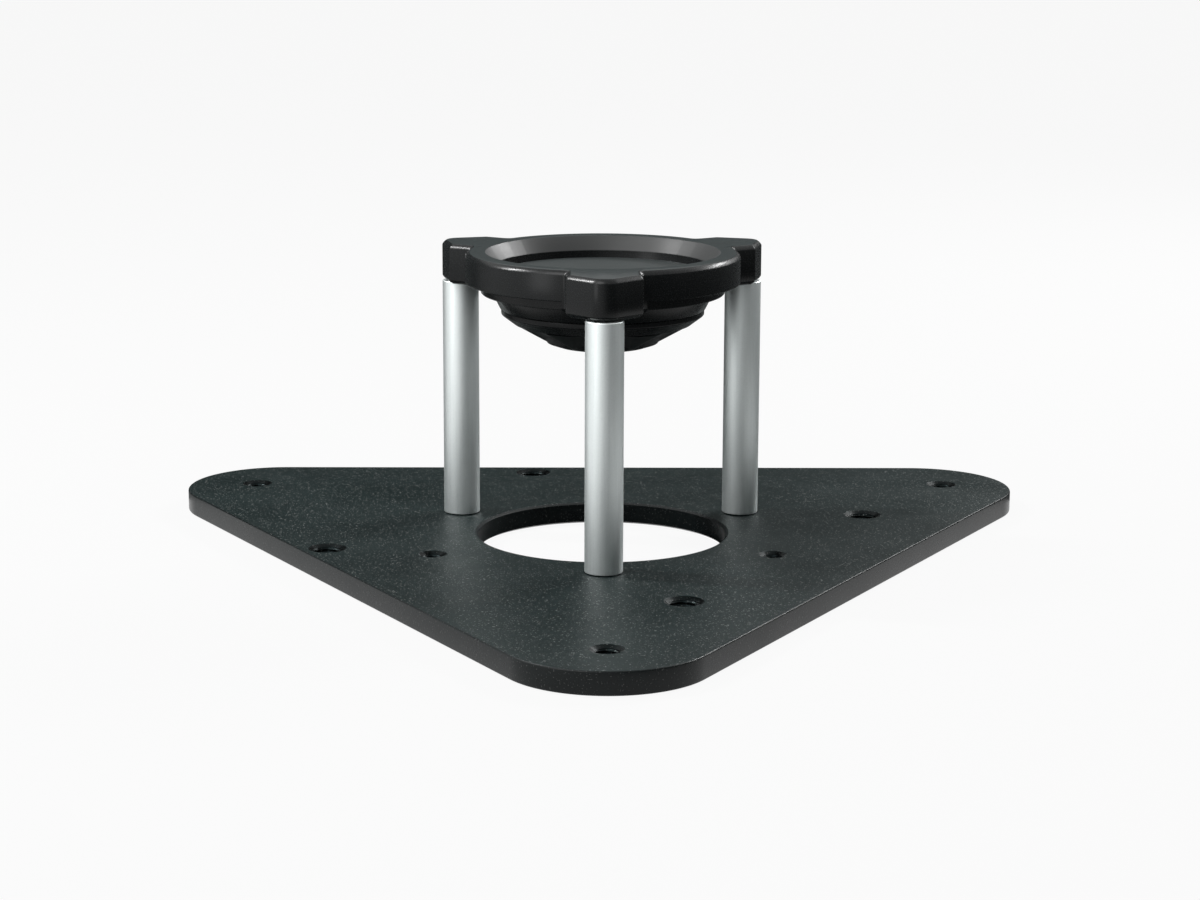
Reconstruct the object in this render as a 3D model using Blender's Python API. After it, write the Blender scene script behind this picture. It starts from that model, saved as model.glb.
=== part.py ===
"""Low bowl camera mount: a bowl ring carried on three rods above a three-cornered base plate.

A levelling half ball sits in the bowl. Its flat deck takes the camera. A rod through the middle holds
the ball down in its seat, and a cup and a scalloped hand knob under the bowl tighten it.

Lengths are in millimetres until the mesh turns them into metres. Z = 0 is the underside of the base
plate, X = Y = 0 is the middle of the plate's length and width, and the front rod stands at -Y. Pieces
are drawn about the bowl's axis, which place sets out from there. Pieces of the head are drawn about the
bowl's centre, the middle of its mouth, because every seat there is a sphere about that point.
"""
import math

import bmesh
import bpy
from mathutils import Matrix, Vector

METRES = 0.001
FULL_TURN = 360.0

# Gap left between two pieces that touch, cut or run in each other
GAP = 0.3

# How far a cutter goes on past the face that it opens
OVERCUT = 1.0

# Sides of the round pieces: the bowl's and the plate's, the ball's, the rods' and the screws'
WIDE_SIDES = 72
BALL_SIDES = 48
ROD_SIDES = 30
SCREW_SIDES = 16

# Base plate, a triangle with round corners
PLATE_THICKNESS = 9.525
PLATE_CORNER_CIRCLE_RADIUS = 171.45
PLATE_CORNER_RADIUS = 41.9
PLATE_EDGE_CHAMFER = 0.8
PLATE_BORE_RADIUS = 53.7
HOLE_CHAMFER = 1.2

# Tapped holes in the plate, each set on its own circle from a first azimuth on
CORNER_HOLE_CIRCLE_RADIUS = 184.15
CORNER_HOLE_RADIUS = 4.9
CORNER_HOLE_COUNT = 3
CORNER_HOLE_AZIMUTH = -90.0
LARGE_HOLE_CIRCLE_RADIUS = 120.65
LARGE_HOLE_RADIUS = 6.2
LARGE_HOLE_COUNT = 4
LARGE_HOLE_AZIMUTH = -165.0
SMALL_HOLE_CIRCLE_RADIUS = 82.55
SMALL_HOLE_RADIUS = 4.15
SMALL_HOLE_COUNT = 3
SMALL_HOLE_AZIMUTH = -150.0

# Rods between the plate and the ears, set out from the bowl ring's wall
ROD_REACH = 12.9
ROD_RADIUS = 7.9375
ROD_LENGTH = 105.0
ROD_CHAMFER = 0.6
ROD_AZIMUTHS = {"front": -90.0, "right": 30.0, "left": 150.0}

# Screws and studs that hold the rods
SCREW_RADIUS = 4.0
SCREW_HEAD_RADIUS = 8.0
SCREW_GRIP = 14.0
SOCKET_ACROSS = 5.0
SOCKET_DEPTH = 3.0
STUD_GRIP = 11.0

# Bowl ring, measured down from the bowl's mouth
BOWL_MOUTH_RADIUS = 50.0
LEAD_IN_DEPTH = 6.0
BALL_RADIUS = 46.0
BOWL_DEPTH = 24.0
BOWL_LAND_WIDTH = 8.7
RING_WALL_DEPTH = 12.8
RING_STEP_WIDTH = 6.6
RING_DEPTH = 17.4
SKIRT_WALL = 3.7
RING_EDGE_ROUND = 2.0

# Ears that take the rods: a round tip, two slanting flanks and two shoulders square to the ring
EAR_WIDTH = 31.4
EAR_FLANK_ANGLE = 46.0
EAR_CORNER_ROUND = 1.0
EAR_ROOT_FILLET = 1.5

# Levelling ball and its deck
TILT = 8.0
DECK_DEPTH = 9.0
DECK_THICKNESS = 6.5
DECK_POCKET_DEPTH = 3.5
DECK_EDGE_CHAMFER = 0.5
CAMERA_HOLE_RADIUS = 4.6
BALL_RIM_LIFT = 1.7
SHELL_INNER_RADIUS = 23.5
SHELL_THICKNESS = 3.8
SHELL_HOLE_CLEARANCE = 1.5
DECK_SCREW_EDGE = 9.2
DECK_SCREW_RADIUS = 2.0
DECK_SCREW_HEAD_RADIUS = 4.0
DECK_SCREW_GRIP = 3.8
DECK_SCREW_SOCKET = 2.5
DECK_SCREW_AZIMUTHS = (30.0, 150.0, 270.0)

# Clamp rod and the dome under its head
CLAMP_ROD_RADIUS = 5.0
CLAMP_ROD_FLAT = 4.2
CLAMP_HEAD_RADIUS = 8.0
CLAMP_HEAD_HEIGHT = 3.7
DOME_ANGLE = 17.0
DOME_RECESS = 1.06

# Clamp cup, measured down from the bowl's underside
CUP_EDGE_STEP = 0.46
CUP_WALL_HEIGHT = 2.1
CUP_FLOOR = 2.5
CUP_CONE_WIDTH = 5.4

# Friction washer, hand knob, its bush and the ring that keeps it on
WASHER_INNER_RADIUS = 10.0
WASHER_OUTER_RADIUS = 20.0
WASHER_THICKNESS = 1.2
KNOB_CONE_WIDTH = 12.7
KNOB_CONE_HEIGHT = 7.6
KNOB_FOOT_CHAMFER = 5.4
KNOB_HEIGHT = 9.5
KNOB_WEB = 2.8
SCALLOP_COUNT = 6
SCALLOP_AZIMUTH = 30.0
SCALLOP_HALF_ARC = 24.0
SCALLOP_RADIUS = 60.0
SCALLOP_DEPTH = 2.6
BUSH_RADIUS = 8.0
BUSH_FLANGE_RADIUS = 11.0
BUSH_FLANGE_THICKNESS = 1.4
KNOB_TRAVEL = 2.0
RETAINER_RADIUS = 8.5
RETAINER_THICKNESS = 0.9
RETAINER_GROOVE = 1.2
RETAINER_HALF_OPENING = 28.0


def sphere_radius_at(radius, height):
    """Radius of a sphere about the bowl's centre, at a height from that centre."""
    return math.sqrt(radius * radius - height * height)


# Worked out from the sizes above: radii and angles of the head's pieces
SEAT_RADIUS = BALL_RADIUS + GAP
RING_RADIUS = BOWL_MOUTH_RADIUS + BOWL_LAND_WIDTH
RING_STEP_RADIUS = RING_RADIUS - RING_STEP_WIDTH
ROD_CIRCLE_RADIUS = RING_RADIUS + ROD_REACH
SKIRT_RADIUS = SEAT_RADIUS + SKIRT_WALL
BALL_RIM_DEPTH = BOWL_DEPTH - BALL_RIM_LIFT
BALL_RIM_RADIUS = sphere_radius_at(BALL_RADIUS, BALL_RIM_DEPTH)
SHELL_OUTER_RADIUS = SHELL_INNER_RADIUS + SHELL_THICKNESS
SHELL_REACH = math.degrees(math.asin((CLAMP_ROD_RADIUS + SHELL_HOLE_CLEARANCE) / SHELL_INNER_RADIUS))
SHELL_HOLE_ANGLE = SHELL_REACH + TILT
DOME_RADIUS = SHELL_INNER_RADIUS - GAP
DOME_INNER_ANGLE = SHELL_HOLE_ANGLE + 1.0
DOME_OUTER_ANGLE = DOME_INNER_ANGLE + DOME_ANGLE
DECK_SCREW_CIRCLE_RADIUS = BALL_RIM_RADIUS - DECK_SCREW_EDGE
CUP_RADIUS = sphere_radius_at(SKIRT_RADIUS, BOWL_DEPTH) - CUP_EDGE_STEP
CUP_CAVITY_RADIUS = sphere_radius_at(SEAT_RADIUS, BOWL_DEPTH)
CUP_FOOT_RADIUS = CUP_RADIUS - CUP_CONE_WIDTH
KNOB_RIM_RADIUS = CUP_FOOT_RADIUS - GAP
KNOB_CONE_RADIUS = KNOB_RIM_RADIUS - KNOB_CONE_WIDTH
KNOB_FOOT_RADIUS = KNOB_CONE_RADIUS - KNOB_FOOT_CHAMFER

# The bowl's axis, from the middle of the plate's length and width: a quarter of the corners' circle
BOWL_AXIS = (0.0, PLATE_CORNER_CIRCLE_RADIUS / 4, 0.0)

# Heights from the plate's underside
PLATE_TOP = PLATE_THICKNESS
EAR_UNDERSIDE = PLATE_TOP + ROD_LENGTH
MOUTH_HEIGHT = EAR_UNDERSIDE + RING_DEPTH
HEAD = (0.0, 0.0, MOUTH_HEIGHT)

# Heights of the head's pieces from the bowl's mouth, downwards negative
DECK_TOP = -DECK_DEPTH
DECK_UNDERSIDE = DECK_TOP - DECK_THICKNESS
DECK_POCKET_TOP = DECK_TOP - DECK_POCKET_DEPTH
BALL_TOP = DECK_UNDERSIDE - GAP
DOME_TOP = -DOME_RADIUS * math.cos(math.radians(DOME_OUTER_ANGLE))
DOME_UNDERSIDE = -DOME_RADIUS * math.cos(math.radians(DOME_INNER_ANGLE))
DOME_SEAT = DOME_TOP - DOME_RECESS
CLAMP_HEAD_UNDERSIDE = DOME_SEAT + GAP
CUP_TOP = -BOWL_DEPTH - GAP

# The cup's floor lies just under the lowest point that the ball's rim or its shell reaches in a tilt
RIM_REACH = (BALL_RIM_DEPTH * math.cos(math.radians(TILT))
             + BALL_RIM_RADIUS * math.sin(math.radians(TILT)))
FLOOR_REACH = SHELL_OUTER_RADIUS * math.cos(math.radians(SHELL_REACH))
CUP_FLOOR_TOP = -max(RIM_REACH, FLOOR_REACH) - GAP
CUP_UNDERSIDE = CUP_FLOOR_TOP - CUP_FLOOR
KNOB_TOP = CUP_UNDERSIDE - GAP
KNOB_UNDERSIDE = KNOB_TOP - KNOB_HEIGHT
WASHER_TOP = CUP_UNDERSIDE - GAP
WASHER_UNDERSIDE = WASHER_TOP - WASHER_THICKNESS
KNOB_RECESS_FLOOR = WASHER_UNDERSIDE - GAP
KNOB_WEB_UNDERSIDE = KNOB_RECESS_FLOOR - KNOB_WEB
BUSH_FLANGE_TOP = KNOB_WEB_UNDERSIDE - GAP
BUSH_UNDERSIDE = BUSH_FLANGE_TOP - BUSH_FLANGE_THICKNESS
RETAINER_TOP = BUSH_UNDERSIDE - KNOB_TRAVEL - GAP
RETAINER_UNDERSIDE = RETAINER_TOP - RETAINER_THICKNESS
CLAMP_ROD_END = RETAINER_UNDERSIDE - GAP


def clear_scene():
    for item in list(bpy.data.objects):
        bpy.data.objects.remove(item, do_unlink=True)


def material(name, colour, roughness, metallic):
    """A Principled material, made once and shared by name."""
    found = bpy.data.materials.get(name)
    if found:
        return found
    made = bpy.data.materials.new(name)
    made.use_nodes = True
    shader = made.node_tree.nodes["Principled BSDF"]
    shader.inputs["Base Color"].default_value = (*colour, 1.0)
    shader.inputs["Roughness"].default_value = roughness
    shader.inputs["Metallic"].default_value = metallic
    made.diffuse_color = (*colour, 1.0)
    return made


def black_plate():
    return material("black_plate", (0.035, 0.042, 0.044), 0.42, 0.35)


def black_anodised():
    return material("black_anodised", (0.06, 0.068, 0.07), 0.45, 0.5)


def black_knob():
    return material("black_knob", (0.045, 0.05, 0.052), 0.55, 0.0)


def bright_rod():
    return material("bright_rod", (0.74, 0.76, 0.76), 0.3, 1.0)


def machined_ball():
    return material("machined_ball", (0.62, 0.63, 0.63), 0.35, 1.0)


def screw_steel():
    return material("screw_steel", (0.32, 0.32, 0.33), 0.35, 1.0)


def bush_brass():
    return material("bush_brass", (0.72, 0.55, 0.26), 0.3, 1.0)


def washer_plastic():
    return material("washer_plastic", (0.75, 0.74, 0.7), 0.5, 0.0)


def build_mesh(name, vertices, faces):
    """A mesh in metres from millimetre points, with its seams closed and its faces out."""
    mesh = bpy.data.meshes.new(name)
    mesh.from_pydata([Vector(point) * METRES for point in vertices], [], faces)
    shape = bmesh.new()
    shape.from_mesh(mesh)
    bmesh.ops.remove_doubles(shape, verts=shape.verts, dist=1e-6)
    bmesh.ops.recalc_face_normals(shape, faces=shape.faces)
    shape.to_mesh(mesh)
    shape.free()
    mesh.shade_smooth()
    mesh.set_sharp_from_angle(angle=math.radians(30.0))
    return mesh


def place(name, vertices, faces, paint, origin=(0.0, 0.0, 0.0)):
    """One named object whose origin is at a point from the bowl's axis; its points count from there."""
    piece = bpy.data.objects.new(name, build_mesh(name, vertices, faces))
    piece.location = (Vector(origin) + Vector(BOWL_AXIS)) * METRES
    if paint:
        piece.data.materials.append(paint)
    bpy.context.scene.collection.objects.link(piece)
    return piece


def cutter(name, vertices, faces, origin=(0.0, 0.0, 0.0)):
    """A guide object that is only used in Booleans."""
    piece = place(name, vertices, faces, None, origin)
    piece.hide_render = True
    piece.display_type = "WIRE"
    return piece


def combine(target, tool, operation="DIFFERENCE"):
    step = target.modifiers.new(tool.name, "BOOLEAN")
    step.operation = operation
    step.solver = "EXACT"
    step.object = tool


def polar(radius, azimuth, height=0.0):
    angle = math.radians(azimuth)
    return (radius * math.cos(angle), radius * math.sin(angle), height)


def azimuths(first, count):
    return [first + FULL_TURN * number / count for number in range(count)]


def turned(profile, segments):
    """Points and faces of a closed (radius, height) profile spun about Z."""
    columns = len(profile)
    vertices = []
    for step in range(segments):
        azimuth = FULL_TURN * step / segments
        vertices += [polar(radius, azimuth, height) for radius, height in profile]
    faces = []
    for step in range(segments):
        here = step * columns
        there = (step + 1) % segments * columns
        for index in range(columns):
            after = (index + 1) % columns
            if profile[index][0] == 0.0 and profile[after][0] == 0.0:
                continue
            faces.append((here + index, there + index, there + after, here + after))
    return vertices, faces


def lofted(outlines, heights):
    """Points and faces of a solid through outlines of equal length, one at each height."""
    count = len(outlines[0])
    vertices = []
    for outline, height in zip(outlines, heights):
        vertices += [(x, y, height) for x, y in outline]
    faces = [tuple(range(count))]
    for level in range(len(heights) - 1):
        low = level * count
        high = low + count
        for index in range(count):
            after = (index + 1) % count
            faces.append((low + index, low + after, high + after, high + index))
    faces.append(tuple(len(vertices) - count + index for index in range(count)))
    return vertices, faces


def moved(shape, offset=(0.0, 0.0, 0.0), azimuth=0.0):
    """A shape's points and faces, turned about Z and then shifted."""
    vertices, faces = shape
    turn = Matrix.Rotation(math.radians(azimuth), 3, "Z")
    shift = Vector(offset)
    return [tuple(turn @ Vector(point) + shift) for point in vertices], faces


def together(shapes):
    """Several shapes as one list of points and one of faces, still separate bodies."""
    vertices = []
    faces = []
    for points, sides in shapes:
        start = len(vertices)
        vertices += points
        faces += [tuple(start + index for index in side) for side in sides]
    return vertices, faces


def arc(centre, radius, first, last, steps):
    """Points along an arc, with angles in degrees from the first axis."""
    points = []
    for step in range(steps + 1):
        angle = math.radians(first + (last - first) * step / steps)
        points.append((centre[0] + radius * math.cos(angle), centre[1] + radius * math.sin(angle)))
    return points


def sphere_arc(radius, first_height, last_height, steps):
    """Profile of a sphere about the bowl's centre between two heights."""
    first = math.degrees(math.asin(first_height / radius))
    last = math.degrees(math.asin(last_height / radius))
    return arc((0.0, 0.0), radius, first, last, steps)


def hexagon_socket(across, bottom, top):
    """A six-sided prism, with its width across the flats."""
    corner = across / 2 / math.cos(math.radians(30.0))
    outline = [polar(corner, azimuth)[:2] for azimuth in azimuths(0.0, 6)]
    return lofted([outline, outline], [bottom, top])


def chamfered_hole(radius, chamfer, bottom, top, sides):
    """Cutter for a round through hole with a 45 degree chamfer at both faces."""
    flare = radius + chamfer + OVERCUT
    profile = [(0.0, bottom - OVERCUT), (flare, bottom - OVERCUT), (radius, bottom + chamfer)]
    profile += [(radius, top - chamfer), (flare, top + OVERCUT), (0.0, top + OVERCUT)]
    return turned(profile, sides)


def bore_cutter(radius, bottom, top):
    return turned([(0.0, bottom), (radius, bottom), (radius, top), (0.0, top)], SCREW_SIDES)


def plate_outline(inset):
    points = []
    for azimuth in sorted(ROD_AZIMUTHS.values()):
        centre = polar(PLATE_CORNER_CIRCLE_RADIUS, azimuth)
        points += arc(centre, PLATE_CORNER_RADIUS - inset, azimuth - 60.0, azimuth + 60.0, 20)
    return points


def plate_holes():
    """The plate's tapped holes: each one's middle and radius."""
    sets = [(CORNER_HOLE_CIRCLE_RADIUS, CORNER_HOLE_RADIUS, CORNER_HOLE_AZIMUTH, CORNER_HOLE_COUNT)]
    sets.append((LARGE_HOLE_CIRCLE_RADIUS, LARGE_HOLE_RADIUS, LARGE_HOLE_AZIMUTH, LARGE_HOLE_COUNT))
    sets.append((SMALL_HOLE_CIRCLE_RADIUS, SMALL_HOLE_RADIUS, SMALL_HOLE_AZIMUTH, SMALL_HOLE_COUNT))
    holes = []
    for circle, radius, first, count in sets:
        holes += [(polar(circle, azimuth), radius) for azimuth in azimuths(first, count)]
    return holes


def screw_clearance():
    """Cutter for a base screw's hole, with its countersink at the plate's underside."""
    hole = SCREW_RADIUS + GAP
    mouth = SCREW_HEAD_RADIUS + GAP
    end = PLATE_THICKNESS + OVERCUT
    profile = [(0.0, -OVERCUT), (mouth, -OVERCUT), (mouth, GAP), (hole, GAP + mouth - hole)]
    profile += [(hole, end), (0.0, end)]
    return turned(profile, SCREW_SIDES)


def make_base_plate():
    chamfer = PLATE_EDGE_CHAMFER
    full = plate_outline(0.0)
    cut_back = plate_outline(chamfer)
    heights = [0.0, chamfer, PLATE_THICKNESS - chamfer, PLATE_THICKNESS]
    plate = place("base_plate", *lofted([cut_back, full, full, cut_back], heights), black_plate())
    shapes = [chamfered_hole(PLATE_BORE_RADIUS, chamfer, 0.0, PLATE_THICKNESS, WIDE_SIDES)]
    for middle, radius in plate_holes():
        hole = chamfered_hole(radius, HOLE_CHAMFER, 0.0, PLATE_THICKNESS, SCREW_SIDES)
        shapes.append(moved(hole, middle))
    for azimuth in ROD_AZIMUTHS.values():
        shapes.append(moved(screw_clearance(), polar(ROD_CIRCLE_RADIUS, azimuth)))
    combine(plate, cutter("base_plate_holes", *together(shapes)))


def make_rods():
    """Three rods, each bored at the foot for its screw and at the head for its stud."""
    foot = PLATE_TOP + GAP
    head = EAR_UNDERSIDE - GAP
    bore = SCREW_RADIUS + GAP
    screw_bore_end = foot + SCREW_GRIP + GAP
    stud_bore_end = head - STUD_GRIP - GAP
    profile = [(0.0, screw_bore_end), (bore, screw_bore_end), (bore, foot)]
    profile += [(ROD_RADIUS - ROD_CHAMFER, foot), (ROD_RADIUS, foot + ROD_CHAMFER)]
    profile += [(ROD_RADIUS, head - ROD_CHAMFER), (ROD_RADIUS - ROD_CHAMFER, head)]
    profile += [(bore, head), (bore, stud_bore_end), (0.0, stud_bore_end)]
    for side, azimuth in ROD_AZIMUTHS.items():
        place("rod_" + side, *turned(profile, ROD_SIDES), bright_rod(), polar(ROD_CIRCLE_RADIUS, azimuth))


def countersunk_screw(name, head_radius, shank_radius, end, socket, paint, origin):
    """A screw with a cone head at its foot, pointing up, and a hexagon socket in the head."""
    rim = GAP
    profile = [(0.0, rim), (head_radius, rim), (shank_radius, rim + head_radius - shank_radius)]
    profile += [(shank_radius, end - GAP), (shank_radius - GAP, end), (0.0, end)]
    screw = place(name, *turned(profile, SCREW_SIDES), paint, origin)
    across, depth = socket
    hole = cutter(name + "_socket", *hexagon_socket(across, rim - OVERCUT, rim + depth), origin)
    combine(screw, hole)


def make_base_screws():
    end = PLATE_TOP + GAP + SCREW_GRIP
    for side, azimuth in ROD_AZIMUTHS.items():
        countersunk_screw("base_screw_" + side, SCREW_HEAD_RADIUS, SCREW_RADIUS, end,
                          (SOCKET_ACROSS, SOCKET_DEPTH), screw_steel(), polar(ROD_CIRCLE_RADIUS, azimuth))


def make_ear_studs():
    """Threaded studs, half in a rod and half in its ear."""
    low = EAR_UNDERSIDE - GAP - STUD_GRIP
    high = EAR_UNDERSIDE + STUD_GRIP
    tip = SCREW_RADIUS - GAP
    profile = [(0.0, low), (tip, low), (SCREW_RADIUS, low + GAP)]
    profile += [(SCREW_RADIUS, high - GAP), (tip, high), (0.0, high)]
    for side, azimuth in ROD_AZIMUTHS.items():
        middle = polar(ROD_CIRCLE_RADIUS, azimuth)
        place("ear_stud_" + side, *turned(profile, SCREW_SIDES), screw_steel(), middle)


def ear_root():
    """Middle of an ear's root fillet in the ear's own frame, where X runs out along the ear."""
    side = EAR_WIDTH / 2 + EAR_ROOT_FILLET
    return Vector((math.sqrt((RING_RADIUS + EAR_ROOT_FILLET) ** 2 - side * side), side))


def ear_corner(inset):
    """Middle of the round corner between a flank and its shoulder, in the ear's own frame."""
    normal = math.radians(90.0 - EAR_FLANK_ANGLE)
    side = EAR_WIDTH / 2 - inset - EAR_CORNER_ROUND
    reach = ROD_RADIUS - inset - EAR_CORNER_ROUND - side * math.sin(normal)
    return Vector((ROD_CIRCLE_RADIUS + reach / math.cos(normal), side))


def ear_outline(inset):
    """One ear's edge from its right root round its tip to its left root, moved in by an inset."""
    root = ear_root()
    to_ring = 180.0 + math.degrees(math.atan2(root.y, root.x))
    normal = 90.0 - EAR_FLANK_ANGLE
    left = arc(ear_corner(inset), EAR_CORNER_ROUND, normal, 90.0, 3)
    left += arc(root, EAR_ROOT_FILLET + inset, 270.0, to_ring, 3)
    tip = arc((ROD_CIRCLE_RADIUS, 0.0), ROD_RADIUS - inset, -normal, normal, 10)
    right = [(x, -y) for x, y in left]
    return right[::-1] + tip + left


def ring_outline(inset):
    """The bowl ring's edge seen from above: three ears joined by arcs of the ring."""
    root = ear_root()
    from_ear = math.degrees(math.atan2(root.y, root.x))
    to_next = FULL_TURN / len(ROD_AZIMUTHS) - from_ear
    points = []
    for azimuth in sorted(ROD_AZIMUTHS.values()):
        turn = Matrix.Rotation(math.radians(azimuth), 2)
        points += [tuple(turn @ Vector(point)) for point in ear_outline(inset)]
        ring = arc((0.0, 0.0), RING_RADIUS - inset, azimuth + from_ear, azimuth + to_next, 24)
        points += ring[1:-1]
    return points


def ring_blank():
    """The ring and its ears at full depth, with both edges rounded."""
    outlines = []
    heights = []
    steps = 3
    for step in range(steps + 1):
        angle = math.radians(90.0 * step / steps)
        outlines.append(ring_outline(RING_EDGE_ROUND * (1.0 - math.sin(angle))))
        heights.append(-RING_DEPTH + RING_EDGE_ROUND * (1.0 - math.cos(angle)))
    for step in range(steps + 1):
        angle = math.radians(90.0 * step / steps)
        outlines.append(ring_outline(RING_EDGE_ROUND * (1.0 - math.cos(angle))))
        heights.append(-RING_EDGE_ROUND * (1.0 - math.sin(angle)))
    return lofted(outlines, heights)


def ring_step_cutters():
    """Three cutters that step the ring back under its outer wall, from one ear's root to the next."""
    side = EAR_WIDTH / 2 + EAR_ROOT_FILLET + GAP
    outer = RING_RADIUS + OVERCUT
    near = math.degrees(math.asin(side / outer))
    far = math.degrees(math.asin(side / RING_STEP_RADIUS))
    between = FULL_TURN / len(ROD_AZIMUTHS)
    outline = arc((0.0, 0.0), outer, near, between - near, 8)
    outline += arc((0.0, 0.0), RING_STEP_RADIUS, between - far, far, 20)
    shape = lofted([outline, outline], [-RING_DEPTH - OVERCUT, -RING_WALL_DEPTH])
    return together([moved(shape, azimuth=azimuth) for azimuth in ROD_AZIMUTHS.values()])


def ring_skirt():
    """The ring's lower part, whose outside follows a sphere about the bowl's centre."""
    edge = sphere_arc(SKIRT_RADIUS, -BOWL_DEPTH, -RING_DEPTH, 3)
    top = -RING_DEPTH + OVERCUT
    profile = [(0.0, -BOWL_DEPTH)] + edge + [(edge[-1][0], top), (0.0, top)]
    return turned(profile, WIDE_SIDES)


def bowl_hollow():
    """Cutter for the bowl: a lead-in cone, the ball's spherical seat and the open bottom."""
    foot_radius = sphere_radius_at(SEAT_RADIUS, LEAD_IN_DEPTH)
    slope = (BOWL_MOUTH_RADIUS - foot_radius) / LEAD_IN_DEPTH
    bottom = -BOWL_DEPTH - OVERCUT
    seat = sphere_arc(SEAT_RADIUS, -LEAD_IN_DEPTH, bottom, 6)
    profile = [(0.0, OVERCUT), (BOWL_MOUTH_RADIUS + slope * OVERCUT, OVERCUT)] + seat + [(0.0, bottom)]
    return turned(profile, WIDE_SIDES)


def make_bowl_ring():
    ring = place("bowl_ring", *ring_blank(), black_anodised(), HEAD)
    combine(ring, cutter("ring_steps", *ring_step_cutters(), HEAD))
    combine(ring, cutter("ring_skirt", *ring_skirt(), HEAD), "UNION")
    combine(ring, cutter("bowl_hollow", *bowl_hollow(), HEAD))
    hole = bore_cutter(SCREW_RADIUS + GAP, -RING_DEPTH - OVERCUT, -RING_DEPTH + STUD_GRIP + GAP)
    shapes = [moved(hole, polar(ROD_CIRCLE_RADIUS, azimuth)) for azimuth in ROD_AZIMUTHS.values()]
    combine(ring, cutter("ear_bores", *together(shapes), HEAD))


def at_deck_screws(shape):
    """A shape repeated where each deck screw stands."""
    places = [polar(DECK_SCREW_CIRCLE_RADIUS, azimuth) for azimuth in DECK_SCREW_AZIMUTHS]
    return together([moved(shape, middle) for middle in places])


def make_half_ball():
    """The ball's seat zone, with a floor shell inside that the clamp dome holds down."""
    angle = math.radians(SHELL_HOLE_ANGLE)
    shell_foot = -SHELL_OUTER_RADIUS * math.cos(angle)
    shell_lip = -SHELL_INNER_RADIUS * math.cos(angle)
    profile = sphere_arc(BALL_RADIUS, BALL_TOP, -BALL_RIM_DEPTH, 4)
    profile += sphere_arc(SHELL_OUTER_RADIUS, -BALL_RIM_DEPTH, shell_foot, 2)
    profile += sphere_arc(SHELL_INNER_RADIUS, shell_lip, BALL_TOP, 5)
    ball = place("half_ball", *turned(profile, BALL_SIDES), machined_ball(), HEAD)
    hole = DECK_SCREW_RADIUS + GAP
    mouth = DECK_SCREW_HEAD_RADIUS + GAP
    foot = -BALL_RIM_DEPTH
    cut = [(0.0, foot - OVERCUT), (mouth, foot - OVERCUT), (mouth, foot + GAP)]
    cut += [(hole, foot + GAP + mouth - hole), (hole, BALL_TOP + OVERCUT), (0.0, BALL_TOP + OVERCUT)]
    combine(ball, cutter("half_ball_holes", *at_deck_screws(turned(cut, SCREW_SIDES)), HEAD))


def make_deck_plate():
    """The ball's flat top, hollowed beneath so that it clears the clamp head when it tilts."""
    chamfer = DECK_EDGE_CHAMFER
    edge = sphere_arc(BALL_RADIUS, DECK_TOP - chamfer, DECK_UNDERSIDE, 3)
    pocket = sphere_radius_at(SHELL_INNER_RADIUS, DECK_UNDERSIDE) + 2 * GAP
    hole = CAMERA_HOLE_RADIUS
    profile = [(hole + chamfer, DECK_TOP), (edge[0][0] - chamfer, DECK_TOP)] + edge
    profile += [(pocket, DECK_UNDERSIDE), (pocket, DECK_POCKET_TOP)]
    profile += [(hole, DECK_POCKET_TOP), (hole, DECK_TOP - chamfer)]
    deck = place("deck_plate", *turned(profile, BALL_SIDES), black_anodised(), HEAD)
    bore = bore_cutter(DECK_SCREW_RADIUS + GAP, BALL_TOP, DECK_UNDERSIDE + DECK_SCREW_GRIP + GAP)
    combine(deck, cutter("deck_plate_bores", *at_deck_screws(bore), HEAD))


def make_deck_screws():
    foot = -BALL_RIM_DEPTH
    end = DECK_UNDERSIDE + DECK_SCREW_GRIP - foot
    socket = (DECK_SCREW_SOCKET, DECK_SCREW_RADIUS)
    for number, azimuth in enumerate(DECK_SCREW_AZIMUTHS, 1):
        origin = polar(DECK_SCREW_CIRCLE_RADIUS, azimuth, MOUTH_HEIGHT + foot)
        countersunk_screw("deck_screw_%d" % number, DECK_SCREW_HEAD_RADIUS, DECK_SCREW_RADIUS, end,
                          socket, screw_steel(), origin)


def make_clamp_dome():
    """A washer whose round side sits in the ball's floor shell and whose recess takes the rod's head."""
    bore = CLAMP_ROD_RADIUS + GAP
    recess = CLAMP_HEAD_RADIUS + GAP
    profile = sphere_arc(DOME_RADIUS, DOME_UNDERSIDE, DOME_TOP, 4)
    profile += [(recess, DOME_TOP), (recess, DOME_SEAT), (bore, DOME_SEAT), (bore, DOME_UNDERSIDE)]
    place("clamp_dome", *turned(profile, ROD_SIDES), screw_steel(), HEAD)


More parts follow.
